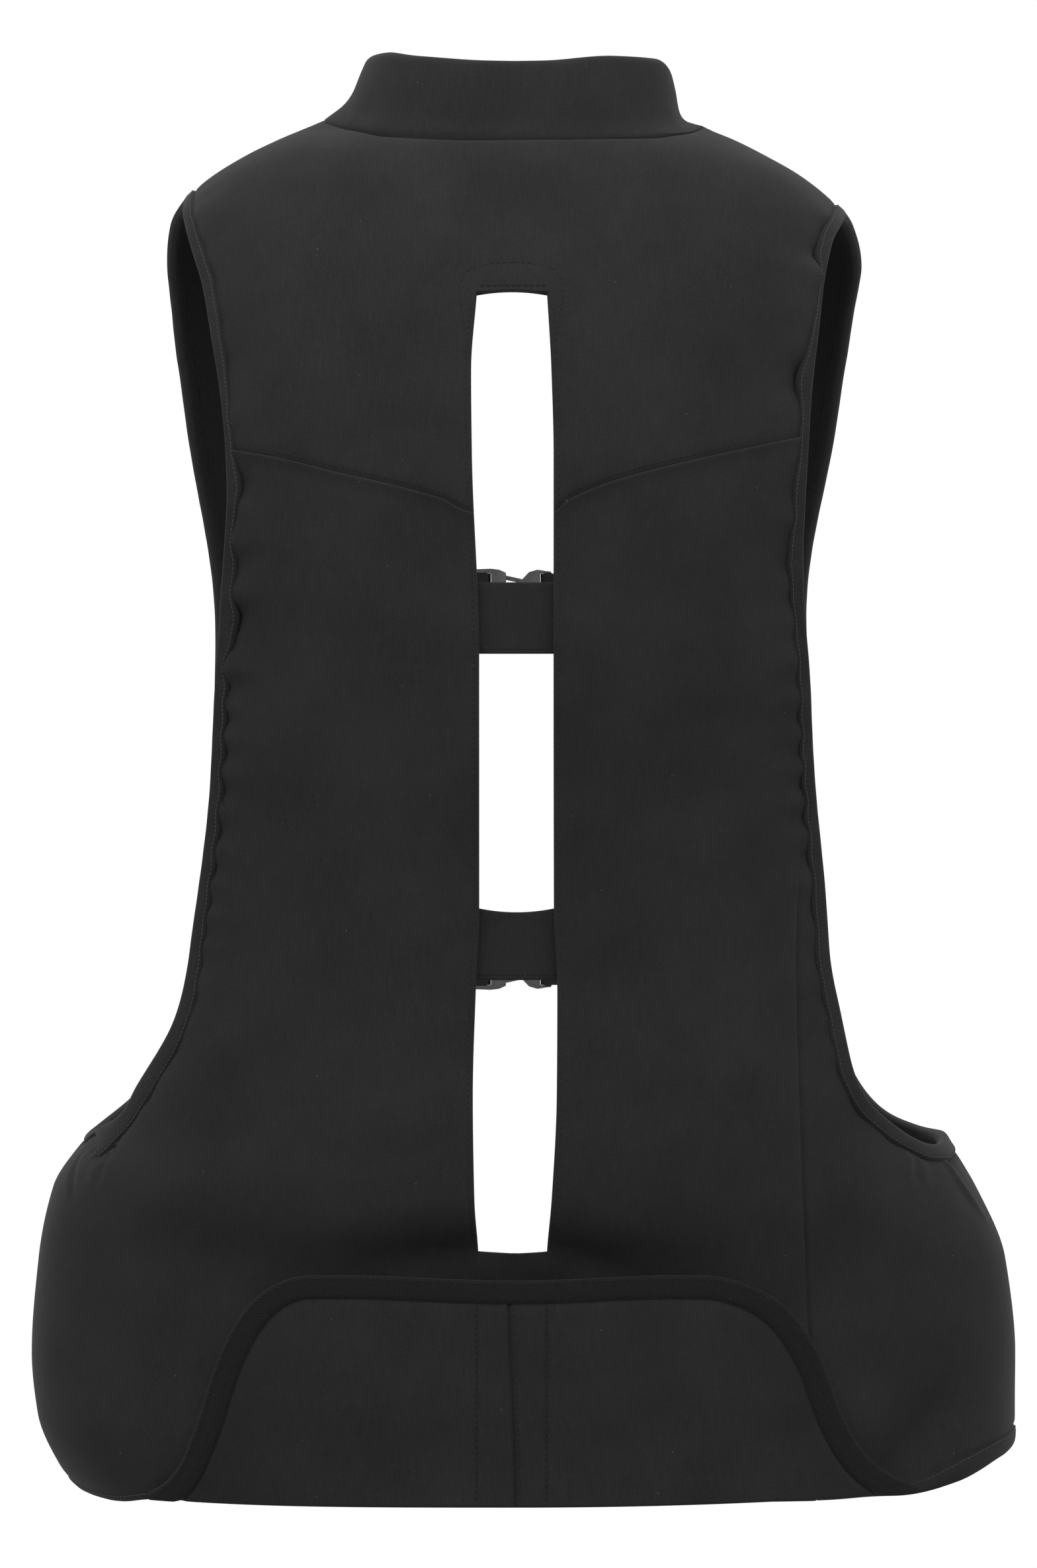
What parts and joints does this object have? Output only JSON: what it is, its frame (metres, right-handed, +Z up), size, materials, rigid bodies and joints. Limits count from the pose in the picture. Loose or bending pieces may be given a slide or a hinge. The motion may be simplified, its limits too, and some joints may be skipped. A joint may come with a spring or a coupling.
{
  "type": "airbag vest",
  "caption": "Sleeveless airbag vest with a padded stand collar, a long spine slot bridged by fabric bars, deep bound side openings, rounded hips and a bell-shaped lower back piece.",
  "frame": {"origin": "middle of the neck opening, level with the collar seam at the back, where the vest hangs on the wearer's shoulders", "axes": "+Z up, +X to the wearer's right, +Y to the wearer's front; the back faces -Y"},
  "size_m": [0.4704, 0.2432, 0.6859],
  "materials": {
    "cloth": "matt softshell weave",
    "binding": "matt rolled cloth binding",
    "twill_tape": "herringbone twill",
    "webbing": "coarse ribbed webbing",
    "buckle_plastic": "satin moulded plastic"
  },
  "bodies": {
    "root": {"collar": "cloth", "back_yoke": "cloth", "back_panel_left": "cloth", "back_panel_right": "cloth", "hip_wing_left": "cloth", "hip_wing_right": "cloth", "front_panel_left": "cloth", "front_panel_right": "cloth", "arm_binding_left": "binding", "arm_binding_right": "binding", "hem_binding_left": "binding", "hem_binding_right": "binding", "tail_panel": "cloth", "tail_binding": "twill_tape", "bridge_upper": "cloth", "bridge_lower": "cloth", "strap_upper_left": "webbing", "strap_upper_right": "webbing", "strap_lower_left": "webbing", "strap_lower_right": "webbing", "buckle_upper_socket": "buckle_plastic", "buckle_upper_plug": "buckle_plastic", "buckle_lower_socket": "buckle_plastic", "buckle_lower_plug": "buckle_plastic"}
  },
  "joints": []
}
